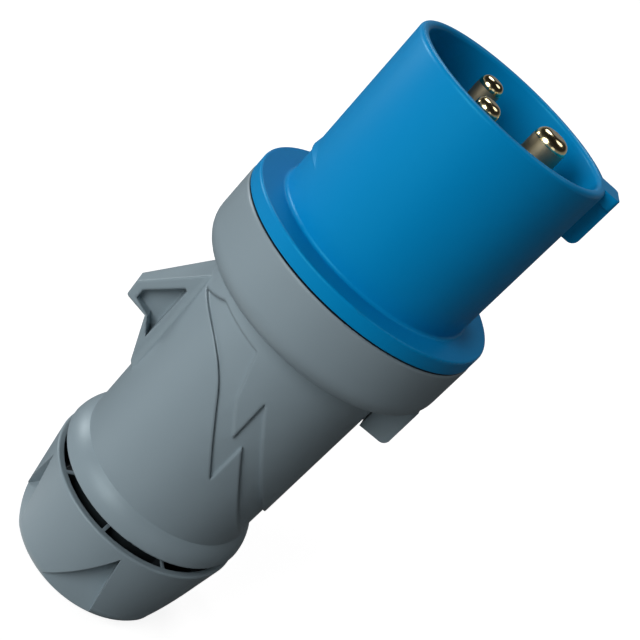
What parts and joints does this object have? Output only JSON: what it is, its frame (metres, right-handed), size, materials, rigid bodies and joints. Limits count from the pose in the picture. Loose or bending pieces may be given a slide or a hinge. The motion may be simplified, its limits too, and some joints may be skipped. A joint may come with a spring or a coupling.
{
  "type": "pin and sleeve plug",
  "caption": "Industrial pin and sleeve plug with a blue shroud around its contact pins, a grey handle with a hook, and a gland nut for the cable.",
  "frame": {"origin": "centre of the gland nut's end, where the cable goes in", "axes": "+Z along the plug's axis to the mouth of the shroud, +X to the key at 6 o'clock, the hook at -X"},
  "size_m": [0.0583, 0.0554, 0.1349],
  "materials": {
    "blue_plastic": "satin",
    "grey_plastic": "satin",
    "white_plastic": "satin",
    "plated_brass": "polished",
    "zinc_steel": "satin",
    "black_rubber": "matte"
  },
  "bodies": {
    "housing": {"shroud": "blue_plastic", "body_seal": "black_rubber", "contact_carrier": "white_plastic", "handle": "grey_plastic", "carrier_screw_left": "zinc_steel", "carrier_screw_right": "zinc_steel", "pin_earth": "plated_brass", "pin_line": "plated_brass", "pin_neutral": "plated_brass"},
    "slide": {"locking_slide": "grey_plastic"},
    "clamp": {"clamp_ring": "grey_plastic", "cable_seal": "black_rubber", "slip_washer": "white_plastic"},
    "nut": {"gland_nut": "grey_plastic"},
    "leaf_e": {"clamp_leaf_earth": "zinc_steel"},
    "leaf_l": {"clamp_leaf_line": "zinc_steel"},
    "leaf_n": {"clamp_leaf_neutral": "zinc_steel"},
    "screw_e": {"terminal_screw_earth": "zinc_steel"},
    "screw_l": {"terminal_screw_line": "zinc_steel"},
    "screw_n": {"terminal_screw_neutral": "zinc_steel"}
  },
  "joints": [
    {"name": "slide_release", "type": "slide", "parent": "housing", "child": "slide", "axis": [0, 0, -1], "range_m": [0, 0.0046]},
    {"name": "gland_travel", "type": "slide", "parent": "housing", "child": "clamp", "axis": [0, 0, 1], "range_m": [-0.006, 0]},
    {"name": "gland_turn", "type": "hinge", "parent": "clamp", "child": "nut", "pos_m": [0, 0, 0], "axis": [0, 0, 1], "range_deg": [0, 720]},
    {"name": "leaf_travel_earth", "type": "slide", "parent": "housing", "child": "leaf_e", "axis": [-1, 0, 0], "range_m": [0, 0.0018]},
    {"name": "screw_turn_earth", "type": "hinge", "parent": "leaf_e", "child": "screw_e", "pos_m": [0.0142, 0, 0.073], "axis": [-1, 0, 0], "range_deg": [0, 925.71]},
    {"name": "leaf_travel_line", "type": "slide", "parent": "housing", "child": "leaf_l", "axis": [0.5, -0.866, 0], "range_m": [0, 0.0018]},
    {"name": "screw_turn_line", "type": "hinge", "parent": "leaf_l", "child": "screw_l", "pos_m": [-0.0071, 0.0123, 0.073], "axis": [0.5, -0.866, 0], "range_deg": [0, 925.71]},
    {"name": "leaf_travel_neutral", "type": "slide", "parent": "housing", "child": "leaf_n", "axis": [0.5, 0.866, 0], "range_m": [0, 0.0018]},
    {"name": "screw_turn_neutral", "type": "hinge", "parent": "leaf_n", "child": "screw_n", "pos_m": [-0.0071, -0.0123, 0.073], "axis": [0.5, 0.866, 0], "range_deg": [0, 925.71]}
  ],
  "couplings": [
    {"joint": "gland_turn", "follows": "gland_travel", "rad_per_m": -2094.4},
    {"joint": "screw_turn_earth", "follows": "leaf_travel_earth", "rad_per_m": 8976},
    {"joint": "screw_turn_line", "follows": "leaf_travel_line", "rad_per_m": 8976},
    {"joint": "screw_turn_neutral", "follows": "leaf_travel_neutral", "rad_per_m": 8976}
  ]
}
